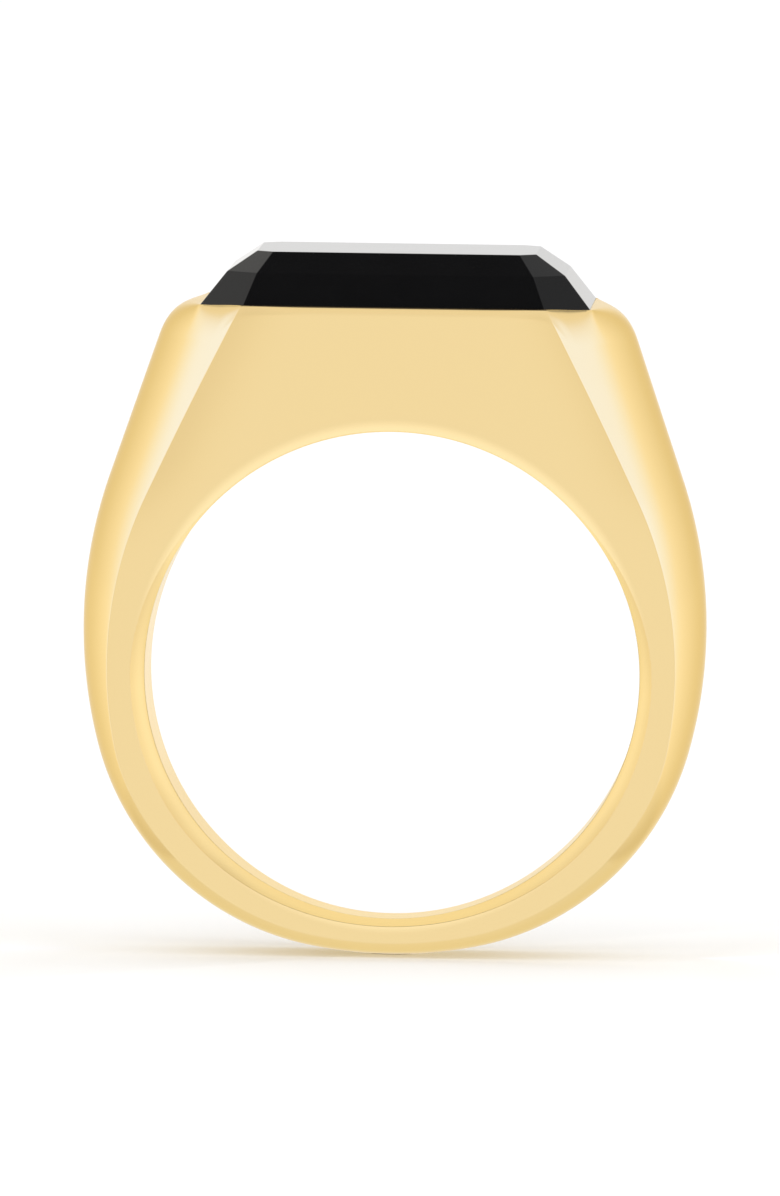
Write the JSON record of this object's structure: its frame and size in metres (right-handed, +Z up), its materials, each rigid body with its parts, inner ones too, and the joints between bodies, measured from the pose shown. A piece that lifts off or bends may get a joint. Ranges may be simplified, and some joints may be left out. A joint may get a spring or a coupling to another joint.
{
  "type": "signet ring",
  "caption": "Yellow gold signet ring with a tapering crowned band and a step-cut black onyx in a bezel.",
  "frame": {"origin": "on the finger hole's axis, midway along its width", "axes": "+Y along the finger hole, +Z up to the stone, X across the ring"},
  "size_m": [0.0248, 0.012, 0.0281],
  "materials": {
    "polished_gold": "mirror polished",
    "setting_cement": "matt",
    "black_onyx": "mirror polished"
  },
  "bodies": {
    "root": {"shank": "polished_gold", "shoulder_left": "polished_gold", "shoulder_right": "polished_gold", "gallery_bridge": "polished_gold", "bezel_frame": "polished_gold", "stone_bearing": "polished_gold", "setting_cement": "setting_cement", "onyx_stone": "black_onyx"}
  },
  "joints": []
}
